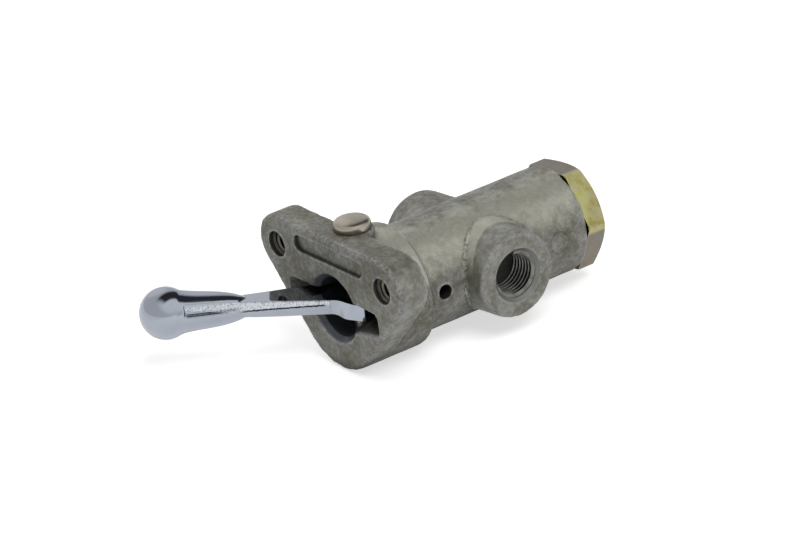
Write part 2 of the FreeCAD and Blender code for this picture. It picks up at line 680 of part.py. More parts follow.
def main():
    os.makedirs("parts", exist_ok=True)
    for name, shape in sub_parts().items():
        shape.exportStep(os.path.join("parts", name + ".step"))
        print(name, shape.isValid(), len(shape.Solids), round(shape.Volume, 2))


main()
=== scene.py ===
import math

import bmesh
import bpy
from bpy.props import FloatProperty, FloatVectorProperty, IntProperty, PointerProperty
from bpy.types import Operator, Panel, PropertyGroup
from mathutils import Matrix, Vector


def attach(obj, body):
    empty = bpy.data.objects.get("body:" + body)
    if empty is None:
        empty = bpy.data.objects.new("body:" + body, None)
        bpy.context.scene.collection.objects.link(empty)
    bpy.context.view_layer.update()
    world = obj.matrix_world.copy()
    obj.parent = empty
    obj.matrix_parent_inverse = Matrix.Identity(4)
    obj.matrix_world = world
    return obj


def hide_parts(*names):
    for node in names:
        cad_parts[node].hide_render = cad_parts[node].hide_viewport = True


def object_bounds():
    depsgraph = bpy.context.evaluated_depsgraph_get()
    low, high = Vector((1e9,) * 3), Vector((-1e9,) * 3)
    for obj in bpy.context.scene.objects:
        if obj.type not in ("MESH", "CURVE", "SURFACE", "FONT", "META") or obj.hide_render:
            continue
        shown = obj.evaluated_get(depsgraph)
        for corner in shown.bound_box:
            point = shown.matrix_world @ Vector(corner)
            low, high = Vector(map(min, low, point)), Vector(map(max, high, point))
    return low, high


bl_info = {
    "name": "Hand Lever Air Valve",
    "version": (1, 0, 0),
    "blender": (4, 5, 0),
    "location": "3D View > Sidebar > Air Valve",
    "description": "Finishes a dash-mounted hand lever air valve and lights it in a studio",
    "category": "Object",
}

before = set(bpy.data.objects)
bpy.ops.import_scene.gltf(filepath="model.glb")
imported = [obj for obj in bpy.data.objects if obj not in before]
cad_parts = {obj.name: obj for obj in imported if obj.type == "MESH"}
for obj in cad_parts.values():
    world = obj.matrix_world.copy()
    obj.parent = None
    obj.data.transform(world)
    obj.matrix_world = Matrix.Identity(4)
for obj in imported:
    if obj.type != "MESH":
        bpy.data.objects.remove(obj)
LOADED_BOX = [list(corner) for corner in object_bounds()]

MM = 0.001

# Places and radii on the valve, in millimetres
PORT_Y = 34.7
PORT_FACE_X = 17.0
PORT_BORE_R = 5.1
PORT_MOUTH_R = 5.8
HOLE_X = 18.1
HOLE_Z = 9.3
HOLE_R = 2.4
HOLE_MOUTH_R = 2.8
BORE_MOUTH_R = 7.7
HEAD_Z = 15.8
HEAD_TOP = 17.6
HEAD_R = 4.05
HEAD_DOME = 0.45
CHAMBER_R = 10.4
SLOT_REACH = 15.1
SLOT_BACK_Y = 14.5
SLOT_TOP = 3.3
SLOT_BOTTOM = -3.6
PIN_SEAT_R = 4.4
VENT_Y = 19.9
VENT_R = 1.6
COLLAR_Y = 16.3
RIM_Y = 57.7
PIVOT_Y = 7.0
FLANGE_BACK_Y = 7.5
BOSS_SIDE_X = 7.0
BOSS_SEAM_R = 10.2
BARREL_SKIN_R = 12.4
BOSSES_PAST_R = 13.8
PORT_FLOOR_X = 8.8
PORT_THREAD_X = PORT_FACE_X - 0.6
HOLE_THREAD_Y = 1.35
PIPE_TAPER = 1 / 32
EJECTOR_MARK = (0, 50.0, 0.2)
EJECTOR_R = 2.35
CORE_MARK = (0, 12.0, 0.4)
CORE_R = 2.4
LUMP_X = -4.5
LUMP_Z = 4.3
LUMP_WIDTH = 1.3
LUMP_HEIGHT = 0.9
# Where the barrel's upper side starts and stops being painted lighter: a painted highlight of the light
# from above
LIT_TOP_FROM = 11.3
LIT_TOP_TO = 14.5

# The lever, in its own frame: pivot at the origin, ball towards -Y
LEVER_TURN = math.radians(39.8)
NECK_Y = -36.1
BLADE_Y = -25.4
EAR_Y = -6.0
WAIST_Y = -24.0
NECK_TEAR_Z = 1.4
WAIST_TEAR_Z = -0.1
EAR_TEAR_Z = 1.0
BAND_TOP = 1.95
NECK_HALF = 3.2
WAIST_HALF = 1.9
EAR_HALF = 4.6

# Edges that turn less than this are shaded smooth
SMOOTH_ANGLE = math.radians(40)

# The studio, in metres
LAMP_SIZE = 0.6
LAMP_AIM = (0, 0.025, 0)
KEY_PLACE = (0.52, -0.08, 0.8)
PANEL_AWAY = 0.9
PANEL_SHARE = 0.35


def srgb(red, green, blue):
    """Colour picked on a screen, 0 to 255, as the linear colour that shaders take."""
    def linear(value):
        share = value / 255
        return share / 12.92 if share <= 0.04045 else ((share + 0.055) / 1.055) ** 2.4

    return (linear(red), linear(green), linear(blue), 1.0)


TONES = {
    "blot": srgb(84, 81, 66),
    # Painted shade for the flange's front face, with an olive tint
    "front": srgb(92, 91, 78),
    # Painted highlight for the barrel's upper side, where the light from above falls
    "rubbed": srgb(196, 195, 178),
    "speck": srgb(196, 195, 186),
    "scuff": srgb(190, 190, 192),
    "machined": srgb(128, 129, 124),
    # Painted shade and painted bluish reflection of the lever, for the bore's machined wall
    "bore": srgb(84, 88, 94),
    "lit seam": srgb(214, 212, 204),
    "mark": srgb(52, 50, 44),
    # Darkest tones: grime and painted shade in the hollows of the casting and between thread turns
    "cast dirt": srgb(40, 38, 31),
    "thread dirt": srgb(26, 25, 21),
    "chrome": srgb(176, 182, 192),
    "chrome drift": srgb(168, 174, 185),
    "torn": srgb(214, 219, 226),
    "torn shade": srgb(84, 90, 98),
    "torn line": srgb(40, 28, 20),
    "nut": srgb(124, 122, 112),
    "nut drift": srgb(132, 122, 108),
    # Painted reflection of the passivate's tint, for one flat of the nut
    "nut yellow": srgb(186, 188, 110),
    "nut amber": srgb(160, 148, 82),
    "nut blot": srgb(200, 195, 168),
    "nut worn": srgb(206, 204, 190),
    # Grime and painted shade in the nut's hollows
    "nut dirt": srgb(40, 36, 24),
    "rubber": srgb(24, 24, 24),
    "rubber dust": srgb(38, 37, 36),
}


class Graph:
    """Adds nodes to one node tree and links them as it goes."""

    def __init__(self, tree):
        self.tree = tree

    def feed(self, socket, value):
        """Link a socket to an input, or set the input to a plain value."""
        if isinstance(value, bpy.types.NodeSocket):
            self.tree.links.new(value, socket)
        else:
            socket.default_value = value

    def add(self, kind, inputs=None, **settings):
        """New node, its settings set and its inputs fed."""
        node = self.tree.nodes.new(kind)
        for name, value in settings.items():
            setattr(node, name, value)
        for key, value in (inputs or {}).items():
            self.feed(node.inputs[key], value)
        return node

    def math(self, operation, first, second=0.0):
        """One sum of two numbers."""
        return self.add("ShaderNodeMath", {0: first, 1: second}, operation=operation).outputs[0]

    def scaled(self, value, factor):
        """The value times a plain number or another value."""
        return self.math("MULTIPLY", value, factor)

    def vector(self, operation, first, second=(0, 0, 0)):
        """One sum of two vectors."""
        node = self.add("ShaderNodeVectorMath", {0: first, 1: second}, operation=operation)
        return node.outputs["Value" if operation in ("LENGTH", "DOT_PRODUCT") else "Vector"]

    def above(self, value, low, high):
        """0 under low, 1 over high, smooth between them."""
        ends = {"Value": value, "From Min": low, "From Max": high}
        return self.add("ShaderNodeMapRange", ends, interpolation_type="SMOOTHSTEP").outputs[0]

    def below(self, value, low, high):
        """1 under low, 0 over high, smooth between them."""
        return self.math("SUBTRACT", 1.0, self.above(value, low, high))

    def band(self, value, middle, half, soft):
        """1 within half of the middle, fading to 0 over soft."""
        away = self.math("ABSOLUTE", self.math("SUBTRACT", value, middle))
        return self.below(away, half, half + soft)

    def both(self, first, second):
        """Where two masks overlap."""
        return self.math("MULTIPLY", first, second)

    def ramp(self, value, start, end, low, high):
        """Straight run from low at start to high at end, level beyond them."""
        ends = {"Value": value, "From Min": start, "From Max": end, "To Min": low, "To Max": high}
        return self.add("ShaderNodeMapRange", ends).outputs[0]

    def either(self, first, second):
        """Where either of two masks is."""
        return self.math("MAXIMUM", first, second)

    def noise(self, position, scale, detail=3.0, roughness=0.5, distortion=0.0):
        """Cloud noise, 0 to 1."""
        settings = {"Vector": position, "Scale": scale, "Detail": detail}
        settings.update({"Roughness": roughness, "Distortion": distortion})
        return self.add("ShaderNodeTexNoise", settings).outputs["Fac"]

    def mix(self, factor, first, second):
        """Mix of two colours."""
        node = self.add("ShaderNodeMix", data_type="RGBA")
        for index, value in ((0, factor), (6, first), (7, second)):
            self.feed(node.inputs[index], value)
        return node.outputs[2]

    def blend(self, factor, first, second):
        """Mix of two plain numbers."""
        node = self.add("ShaderNodeMix", {0: factor, 2: first, 3: second}, data_type="FLOAT")
        return node.outputs[0]

    def group(self, name, **values):
        """Outputs of a shared effect, its inputs fed by name."""
        node = self.add("ShaderNodeGroup", node_tree=bpy.data.node_groups[name])
        for key, value in values.items():
            self.feed(node.inputs[key.replace("_", " ")], value)
        return node.outputs


def new_group(name, inputs, outputs):
    """Empty shader node group. Inputs are (name, type, default)."""
    tree = bpy.data.node_groups.new(name, "ShaderNodeTree")
    for label, kind, default in inputs:
        socket = tree.interface.new_socket(label, in_out="INPUT", socket_type="NodeSocket" + kind)
        if default is not None:
            socket.default_value = default
    for label, kind in outputs:
        tree.interface.new_socket(label, in_out="OUTPUT", socket_type="NodeSocket" + kind)
    graph = Graph(tree)
    source = graph.add("NodeGroupInput").outputs
    target = graph.add("NodeGroupOutput").inputs
    return graph, source, target


def build_mottle_group():
    """Cloudy patches with broken edges, 0 to 1."""
    inputs = [("Position", "Vector", None), ("Patch Size", "Float", 0.004)]
    inputs += [("Contrast", "Float", 0.2), ("Seed", "Float", 0.0)]
    graph, given, result = new_group("Mottle", inputs, [("Value", "Float")])
    shift = graph.add("ShaderNodeCombineXYZ", {"X": given["Seed"]}).outputs[0]
    position = graph.vector("ADD", given["Position"], shift)
    scale = graph.math("DIVIDE", 1.0, given["Patch Size"])
    cloud = graph.noise(position, scale, 4.0, 0.55, 0.15)
    low = graph.math("SUBTRACT", 0.5, given["Contrast"])
    high = graph.math("ADD", 0.5, given["Contrast"])
    graph.feed(result["Value"], graph.above(cloud, low, high))


def build_edge_group():
    """Worn edges: where the surface turns sharply, broken up by noise."""
    inputs = [("Position", "Vector", None), ("Width", "Float", 0.0004)]
    inputs += [("Amount", "Float", 1.0), ("Grain", "Float", 0.001)]
    graph, given, result = new_group("Edge Wear", inputs, [("Mask", "Float")])
    rounded = graph.add("ShaderNodeBevel", {"Radius": given["Width"]}, samples=6).outputs[0]
    plain = graph.add("ShaderNodeNewGeometry").outputs["Normal"]
    turn = graph.math("SUBTRACT", 1.0, graph.vector("DOT_PRODUCT", rounded, plain))
    edge = graph.above(turn, 0.02, 0.16)
    scale = graph.math("DIVIDE", 1.0, given["Grain"])
    broken = graph.above(graph.noise(given["Position"], scale, 3.0, 0.6), 0.36, 0.62)
    graph.feed(result["Mask"], graph.both(graph.both(edge, broken), given["Amount"]))


def build_axis_group():
    """Distance of a point from a line through Centre, along the axis whose share is 0."""
    inputs = [("Position", "Vector", None), ("Centre", "Vector", None), ("Across", "Vector", None)]
    graph, given, result = new_group("Axis Distance", inputs, [("Distance", "Float")])
    offset = graph.vector("SUBTRACT", given["Position"], given["Centre"])
    flat = graph.vector("MULTIPLY", offset, given["Across"])
    graph.feed(result["Distance"], graph.vector("LENGTH", flat))


def build_skin_group():
    """Fine unevenness of a cast or plated skin, as a height in millimetres."""
    inputs = [("Position", "Vector", None), ("Grain", "Float", 0.0005)]
    inputs += [("Depth", "Float", 0.02), ("Waves", "Float", 0.05)]
    graph, given, result = new_group("Skin", inputs, [("Height", "Float"), ("Grain", "Float")])
    scale = graph.math("DIVIDE", 1.0, given["Grain"])
    fine = graph.noise(given["Position"], scale, 4.0, 0.6)
    broad = graph.noise(given["Position"], graph.scaled(scale, 0.12), 2.0, 0.5)
    height = graph.both(fine, given["Depth"])
    swell = graph.both(broad, given["Waves"])
    graph.feed(result["Height"], graph.math("ADD", height, swell))
    graph.feed(result["Grain"], fine)


def build_hollow_shade_group():
    """Grime and painted shade in hollows and corners, where little of the surroundings is seen."""
    inputs = [("Position", "Vector", None), ("Reach", "Float", 0.004), ("Amount", "Float", 1.0)]
    graph, given, result = new_group("Hollow Grime And Shade", inputs, [("Mask", "Float")])
    sky = graph.add("ShaderNodeAmbientOcclusion", {"Distance": given["Reach"]}, samples=8).outputs["AO"]
    patchy = graph.math("SUBTRACT", graph.noise(given["Position"], 700.0, 4.0, 0.6), 0.5)
    hollow = graph.math("ADD", graph.math("SUBTRACT", 1.0, sky), graph.scaled(patchy, 0.25))
    graph.feed(result["Mask"], graph.both(graph.above(hollow, 0.16, 0.62), given["Amount"]))


def build_scuff_group():
    """Thin wandering scratches, gathered in patches."""
    inputs = [("Position", "Vector", None), ("Spacing", "Float", 0.003), ("Width", "Float", 0.02)]
    inputs += [("Seed", "Float", 0.0)]
    graph, given, result = new_group("Scuffs", inputs, [("Mask", "Float")])
    shift = graph.add("ShaderNodeCombineXYZ", {"Y": given["Seed"]}).outputs[0]
    position = graph.vector("ADD", given["Position"], shift)
    scale = graph.math("DIVIDE", 1.0, given["Spacing"])
    waves = graph.noise(position, scale, 2.0, 0.4, 0.6)
    away = graph.math("ABSOLUTE", graph.math("SUBTRACT", waves, 0.5))
    line = graph.below(away, 0.0, given["Width"])
    patch = graph.above(graph.noise(position, graph.scaled(scale, 2.3), 2.0), 0.48, 0.6)
    graph.feed(result["Mask"], graph.both(line, patch))


ACROSS = {"x": (0, 1, 1), "y": (1, 0, 1)}


def start_material(name):
    """Material with an empty tree: its graph, object coordinates and shader."""
    material = bpy.data.materials.new(name)
    material.use_nodes = True
    material.node_tree.nodes.clear()
    graph = Graph(material.node_tree)
    position = graph.add("ShaderNodeTexCoord").outputs["Object"]
    shader = graph.add("ShaderNodeBsdfPrincipled")
    output = graph.add("ShaderNodeOutputMaterial")
    graph.feed(output.inputs["Surface"], shader.outputs[0])
    return material, graph, position, shader


def axis_distance(graph, position, centre, axis):
    """Distance in millimetres from a line along the named axis."""
    place = tuple(value * MM for value in centre)
    found = graph.group("Axis Distance", Position=position, Centre=place, Across=ACROSS[axis])
    return graph.scaled(found["Distance"], 1000.0)


def set_bump(graph, shader, height, strength=1.0):
    """Bump from a height given in millimetres."""
    bump = graph.add("ShaderNodeBump", {"Strength": strength, "Distance": MM, "Height": height})
    graph.feed(shader.inputs["Normal"], bump.outputs[0])


def ring_mark(graph, position, centre, radius):
    """Line round a circle on the right-hand side of the body."""
    line = graph.band(axis_distance(graph, position, centre, "x"), radius, 0.1, 0.12)
    across = graph.vector("DOT_PRODUCT", position, (1, 0, 0))
    return graph.both(line, graph.above(across, 4 * MM, 6 * MM))


def body_places(graph, position):
    """Masks for the machined places of the casting and for the parts of its outside, among them the
    barrel's upper side, painted lighter as a highlight, and the front face, painted darker as shade.
    """
    apart = graph.add("ShaderNodeSeparateXYZ", {0: position}).outputs
    across, depth, height = (graph.scaled(value, 1000.0) for value in apart)
    side = graph.math("ABSOLUTE", across)
    port = axis_distance(graph, position, (0, PORT_Y, 0), "x")
    bore = axis_distance(graph, position, (0, 0, 0), "y")
    at_port = graph.below(port, PORT_MOUTH_R - 0.05, PORT_MOUTH_R + 0.1)
    at_port = graph.both(at_port, graph.above(side, PORT_FLOOR_X, PORT_FLOOR_X + 0.2))
    in_bore = graph.below(bore, BORE_MOUTH_R, BORE_MOUTH_R + 0.15)
    in_bore = graph.both(in_bore, graph.above(depth, 0.15, 0.5))
    # The flange's front face, painted darker in cast_colour: painted shade
    front = graph.below(depth, 0.4, 1.2)
    # The barrel's upper side, facing up and towards +X, painted lighter in cast_colour: a painted
    # highlight of the light from above
    raised = graph.math("ADD", graph.scaled(across, 0.6), graph.scaled(height, 0.8))
    patchy = graph.scaled(graph.noise(position, 260.0, 4.0, 0.6), 5.0)
    top = graph.above(graph.math("ADD", raised, patchy), LIT_TOP_FROM, LIT_TOP_TO)
    top = graph.both(top, graph.above(depth, FLANGE_BACK_Y, FLANGE_BACK_Y + 1.5))
    top = graph.both(top, graph.below(bore, BOSSES_PAST_R, BOSSES_PAST_R + 0.6))
    # Dark line painted along the collar's rear edge, where the collar meets the barrel
    collar_line = graph.band(depth, COLLAR_Y - 0.75, 0.06, 0.16)
    collar_line = graph.both(collar_line, graph.above(bore, BARREL_SKIN_R, BARREL_SKIN_R + 0.4))
    collar_line = graph.both(collar_line, graph.above(graph.noise(position, 420.0, 3.0), 0.42, 0.58))
    around = graph.math("ADD", port, graph.scaled(graph.noise(position, 500.0, 2.0), 0.5))
    lit = graph.band(around, BOSS_SEAM_R, 0.05, 0.12)
    lit = graph.both(lit, graph.above(graph.noise(position, 330.0, 3.0), 0.46, 0.56))
    shut = graph.band(around, BOSS_SEAM_R + 0.25, 0.04, 0.12)
    shut = graph.both(shut, graph.above(graph.noise(position, 260.0, 3.0), 0.5, 0.6))
    foot = graph.above(side, BOSS_SIDE_X, BOSS_SIDE_X + 1.0)
    foot = graph.both(foot, graph.below(depth, PORT_Y - 1.0, PORT_Y + 1.0))
    return {
        "machined": graph.either(at_port, in_bore), "bore": in_bore, "front": front, "top": top,
        "collar_line": collar_line, "lit seam": graph.both(lit, foot), "shut seam": graph.both(shut, foot),
    }


def cast_colour(graph, finish, places, masks):
    """Patchy grey and olive skin, rubbed bright on its edges, with grime and painted shade in its
    hollows, painted shade on the front face, a painted highlight on the barrel's upper side and a
    painted dark reflection in the bore.
    """
    colour = graph.mix(masks["clouds"], tuple(finish.cast_dark), tuple(finish.cast_light))
    colour = graph.mix(graph.scaled(masks["stains"], 0.5), colour, tuple(finish.cast_stain))
    colour = graph.mix(graph.scaled(masks["blots"], 0.22), colour, TONES["blot"])
    # Painted shade on the front face
    colour = graph.mix(graph.scaled(places["front"], 0.3), colour, TONES["front"])
    # Painted highlight on the barrel's upper side, with more bright specks there as painted glints
    colour = graph.mix(graph.scaled(places["top"], 0.62), colour, TONES["rubbed"])
    lit_top_glint = graph.blend(places["top"], 0.2, 0.5)
    colour = graph.mix(graph.both(masks["specks"], lit_top_glint), colour, TONES["speck"])
    colour = graph.mix(graph.scaled(masks["scuffs"], 0.3), colour, TONES["scuff"])
    colour = graph.mix(masks["worn"], colour, tuple(finish.cast_worn))
    colour = graph.mix(places["machined"], colour, TONES["machined"])
    # The bore's wall painted dark and bluish: painted shade with a painted reflection of the lever
    colour = graph.mix(places["bore"], colour, TONES["bore"])
    colour = graph.mix(graph.scaled(places["lit seam"], 0.8), colour, TONES["lit seam"])
    colour = graph.mix(graph.scaled(masks["marks"], 0.6), colour, TONES["mark"])
    # Grime and painted shade in hollows, less of it on machined places
    kept = graph.math("SUBTRACT", 1.0, graph.scaled(places["machined"], 0.6))
    return graph.mix(graph.both(masks["dirt"], kept), colour, TONES["cast dirt"])


def cast_material(finish):
    """Die-cast zinc with a dull patchy skin."""
    material, graph, position, shader = start_material("cast_zinc")
    places = body_places(graph, position)
    masks = {}
    patches = (("clouds", 0.011, 0.14, 0.0), ("stains", 0.0042, 0.12, 3.1), ("blots", 0.0013, 0.1, 5.3))
    for name, size, contrast, seed in patches + (("specks", 0.00045, 0.1, 7.7),):
        found = graph.group("Mottle", Position=position, Patch_Size=size, Contrast=contrast, Seed=seed)
        masks[name] = found["Value"]
    masks["specks"] = graph.both(masks["specks"], graph.math("SUBTRACT", 1.0, masks["blots"]))
    masks["scuffs"] = graph.group("Scuffs", Position=position, Spacing=0.0028, Width=0.014)["Mask"]
    bend = graph.add("ShaderNodeAttribute", attribute_name="bend").outputs["Fac"]
    broken = graph.above(graph.noise(position, 1500.0, 4.0, 0.65), 0.4, 0.62)
    masks["worn"] = graph.scaled(graph.both(graph.above(bend, 0.1, 0.42), broken), 0.5)
    # Hollows and inward creases painted darker: grime and painted shade
    masks["dirt"] = graph.group("Hollow Grime And Shade", Position=position, Reach=0.007, Amount=0.93)["Mask"]
    corner = graph.scaled(graph.below(bend, -0.3, -0.05), 0.6)
    masks["dirt"] = graph.either(masks["dirt"], graph.both(corner, broken))
    ejector = ring_mark(graph, position, EJECTOR_MARK, EJECTOR_R)
    core = ring_mark(graph, position, CORE_MARK, CORE_R)
    marks = graph.either(graph.scaled(ejector, 0.6), graph.scaled(core, 0.5))
    masks["marks"] = graph.either(marks, graph.either(places["collar_line"], places["shut seam"]))
    graph.feed(shader.inputs["Base Color"], cast_colour(graph, finish, places, masks))
    skin = graph.group("Skin", Position=position, Grain=0.0004, Depth=0.022, Waves=0.08)
    rough = graph.blend(masks["clouds"], 0.46, 0.38)
    rough = graph.math("ADD", rough, graph.scaled(masks["blots"], 0.06))
    rough = graph.math("SUBTRACT", rough, graph.scaled(masks["worn"], 0.12))
    rough = graph.math("SUBTRACT", rough, graph.scaled(places["top"], 0.06))
    rough = graph.math("ADD", rough, graph.scaled(skin["Grain"], 0.06))
    graph.feed(shader.inputs["Roughness"], graph.blend(places["machined"], rough, 0.3))
    shader.inputs["Metallic"].default_value = 0.35
    smooth = graph.math("SUBTRACT", 1.0, graph.scaled(places["machined"], 0.9))
    height = graph.both(skin["Height"], smooth)
    pits = graph.both(masks["blots"], masks["stains"])
    height = graph.math("SUBTRACT", height, graph.scaled(pits, 0.015))
    height = graph.math("SUBTRACT", height, graph.scaled(masks["marks"], 0.06))
    height = graph.math("SUBTRACT", height, graph.scaled(masks["scuffs"], 0.01))
    set_bump(graph, shader, height, 0.9)
    return material


def plated_material(name, colour, tint, roughness):
    """Bright plated or turned metal, its colour drifting between two tones."""
    material, graph, position, shader = start_material(name)
    clouds = graph.group("Mottle", Position=position, Patch_Size=0.003, Contrast=0.25)["Value"]
    worn = graph.group("Edge Wear", Position=position, Width=0.00025, Amount=0.5, Grain=0.0006)["Mask"]
    skin = graph.group("Skin", Position=position, Grain=0.0004, Depth=0.004, Waves=0.02)
    shade = graph.mix(clouds, colour, tint)
    lighter = tuple(min(1.0, value * 1.35) for value in colour[:3]) + (1.0,)
    graph.feed(shader.inputs["Base Color"], graph.mix(worn, shade, lighter))
    spread = graph.scaled(clouds, 0.4 * roughness)
    graph.feed(shader.inputs["Roughness"], graph.math("ADD", spread, roughness))
    shader.inputs["Metallic"].default_value = 1.0
    set_bump(graph, shader, skin["Height"], 0.7)
    return material


def thread_material(name, light, dark):
    """Cut zinc, light on its crests and painted dark in its grooves, grime and shade together."""
    material, graph, position, shader = start_material(name)
    clouds = graph.group("Mottle", Position=position, Patch_Size=0.002, Contrast=0.2)["Value"]
    # Grooves painted darker: grime and painted shade
    dirt = graph.group("Hollow Grime And Shade", Position=position, Reach=0.0011, Amount=0.95)["Mask"]
    colour = graph.mix(dirt, graph.mix(clouds, light, dark), TONES["thread dirt"])
    graph.feed(shader.inputs["Base Color"], colour)
    graph.feed(shader.inputs["Roughness"], graph.blend(clouds, 0.28, 0.4))
    shader.inputs["Metallic"].default_value = 0.95
    skin = graph.group("Skin", Position=position, Grain=0.0003, Depth=0.01, Waves=0.02)
    set_bump(graph, shader, skin["Height"], 0.6)
    return material


def lever_places(graph, position):
    """Masks for the sheared band along the lever's sides and for the line under it."""
    turned = graph.add("ShaderNodeVectorRotate", {0: position, 1: (0, PIVOT_Y * MM, 0), 3: LEVER_TURN},
                       rotation_type="Z_AXIS").outputs[0]
    apart = graph.add("ShaderNodeSeparateXYZ", {0: turned}).outputs
    across, along, height = (graph.scaled(value, 1000.0) for value in apart)
    along = graph.math("SUBTRACT", along, PIVOT_Y)
    neck = graph.ramp(along, NECK_Y, BLADE_Y, NECK_HALF, WAIST_HALF)
    blade = graph.ramp(along, BLADE_Y, EAR_Y, WAIST_HALF, EAR_HALF)
    outwards = graph.math("SUBTRACT", graph.math("ABSOLUTE", across), graph.either(neck, blade))
    at_side = graph.above(outwards, -0.3, -0.15)
    length = graph.above(along, NECK_Y - 0.4, NECK_Y + 0.2)
    length = graph.both(length, graph.below(along, EAR_Y - 0.4, EAR_Y + 0.4))
    to_waist = graph.ramp(along, NECK_Y, WAIST_Y, NECK_TEAR_Z, WAIST_TEAR_Z)
    low = graph.either(to_waist, graph.ramp(along, WAIST_Y, EAR_Y, WAIST_TEAR_Z, EAR_TEAR_Z))
    high = graph.ramp(along, NECK_Y, BLADE_Y, NECK_TEAR_Z + 0.9, BAND_TOP)
    over = graph.math("SUBTRACT", height, low)
    band = graph.both(graph.both(at_side, length), graph.above(over, 0.0, 0.12))
    band = graph.both(band, graph.below(graph.math("SUBTRACT", height, high), -0.1, 0.1))
    ragged = graph.noise(turned, 1400.0, 3.0, 0.6)
    wander = graph.scaled(graph.math("SUBTRACT", ragged, 0.5), 0.6)
    line = graph.band(graph.math("ADD", over, wander), 0.0, 0.1, 0.14)
    line = graph.both(graph.both(line, at_side), graph.above(along, -26.0, -22.5))
    line = graph.both(line, graph.below(along, EAR_Y - 1.6, EAR_Y - 0.6))
    return turned, band, line


def chrome_material():
    """Bright chrome over a pressed blank, its sheared sides still torn and sparkling."""
    material, graph, position, shader = start_material("chrome_plate")
    turned, band, line = lever_places(graph, position)
    torn = graph.vector("MULTIPLY", turned, (1.0, 1.0, 0.6))
    coarse = graph.noise(torn, 1500.0, 3.0, 0.7)
    fine = graph.noise(torn, 3600.0, 2.0, 0.6)
    clouds = graph.group("Mottle", Position=position, Patch_Size=0.006, Contrast=0.3)["Value"]
    colour = graph.mix(clouds, TONES["chrome"], TONES["chrome drift"])
    colour = graph.mix(band, colour, TONES["torn"])
    dark = graph.both(band, graph.either(graph.above(fine, 0.57, 0.64), graph.above(coarse, 0.6, 0.66)))
    colour = graph.mix(graph.scaled(dark, 0.65), colour, TONES["torn shade"])
    colour = graph.mix(graph.scaled(line, 0.95), colour, TONES["torn line"])
    graph.feed(shader.inputs["Base Color"], colour)
    rough = graph.blend(band, 0.06, 0.2)
    graph.feed(shader.inputs["Roughness"], graph.blend(line, rough, 0.6))
    shader.inputs["Metallic"].default_value = 1.0
    skin = graph.group("Skin", Position=position, Grain=0.0012, Depth=0.002, Waves=0.03)
    torn_height = graph.math("ADD", graph.scaled(coarse, 0.4), graph.scaled(fine, 0.12))
    torn_height = graph.math("SUBTRACT", torn_height, 0.26)
    height = graph.math("ADD", skin["Height"], graph.both(band, torn_height))
    height = graph.math("SUBTRACT", height, graph.scaled(line, 0.1))
    set_bump(graph, shader, height, 1.0)
    return material


def nut_material():
    """Yellow passivated steel: grey-tan flats, and one flat facing up and towards +X painted with the
    passivate's golden tint as a painted reflection.
    """
    material, graph, position, shader = start_material("nut_plate")
    apart = graph.add("ShaderNodeSeparateXYZ", {0: position}).outputs
    clouds = graph.group("Mottle", Position=position, Patch_Size=0.005, Contrast=0.16)["Value"]
    blots = graph.group("Mottle", Position=position, Patch_Size=0.0016, Contrast=0.16, Seed=2.0)["Value"]
    worn = graph.group("Edge Wear", Position=position, Width=0.0004, Amount=0.6, Grain=0.0007)["Mask"]
    # The flat facing up and towards +X, painted in the passivate's tint: a painted reflection
    facing = graph.math("ADD", graph.scaled(apart[0], 0.85), graph.scaled(apart[2], 0.53))
    yellow_sheen = graph.above(facing, 0.0088, 0.0098)
    plain = graph.mix(clouds, TONES["nut"], TONES["nut drift"])
    tinted = graph.mix(clouds, TONES["nut yellow"], TONES["nut amber"])
    tinted = graph.mix(graph.scaled(blots, 0.5), tinted, TONES["nut blot"])
    colour = graph.mix(yellow_sheen, plain, tinted)
    # Hollows painted darker: grime and painted shade
    dirt = graph.group("Hollow Grime And Shade", Position=position, Reach=0.003, Amount=0.8)["Mask"]
    colour = graph.mix(worn, colour, TONES["nut worn"])
    graph.feed(shader.inputs["Base Color"], graph.mix(dirt, colour, TONES["nut dirt"]))
    graph.feed(shader.inputs["Roughness"], graph.blend(blots, 0.24, 0.36))
    shader.inputs["Metallic"].default_value = 1.0
    skin = graph.group("Skin", Position=position, Grain=0.0005, Depth=0.012, Waves=0.05)
    set_bump(graph, shader, skin["Height"], 0.8)
    return material


def rubber_material():
    """Black moulded rubber with a little dust."""
    material, graph, position, shader = start_material("black_rubber_skin")
    clouds = graph.group("Mottle", Position=position, Patch_Size=0.002, Contrast=0.25)["Value"]
    skin = graph.group("Skin", Position=position, Grain=0.0003, Depth=0.01, Waves=0.01)
    graph.feed(shader.inputs["Base Color"], graph.mix(clouds, TONES["rubber"], TONES["rubber dust"]))
    graph.feed(shader.inputs["Roughness"], graph.blend(clouds, 0.5, 0.65))
    set_bump(graph, shader, skin["Height"], 0.5)
    return material


def dress(node, material):
    """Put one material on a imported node."""
    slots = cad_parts[node].material_slots
    if not slots:
        raise RuntimeError(node + " has no material slot")
    for slot in slots:
        slot.material = material


def deselect():
    """Object mode with nothing selected."""
    if bpy.context.object and bpy.context.object.mode != "OBJECT":
        bpy.ops.object.mode_set(mode="OBJECT")
    bpy.ops.object.select_all(action="DESELECT")


def make_active(piece):
    """Select one piece alone."""
    deselect()
    piece.select_set(True)
    bpy.context.view_layer.objects.active = piece


def settle(piece, name, body, material):
    """Bake the piece's place into its mesh, then name, dress and carry it."""
    make_active(piece)
    bpy.ops.object.transform_apply(location=True, rotation=True, scale=True)
    piece.name = name
    piece.data.name = name
    piece.data.materials.clear()
    piece.data.materials.append(material)
    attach(piece, body)


def apply_modifiers(piece):
    """Turn the piece's modifiers into its mesh."""
    make_active(piece)
    for modifier in list(piece.modifiers):
        bpy.ops.object.modifier_apply(modifier=modifier.name)


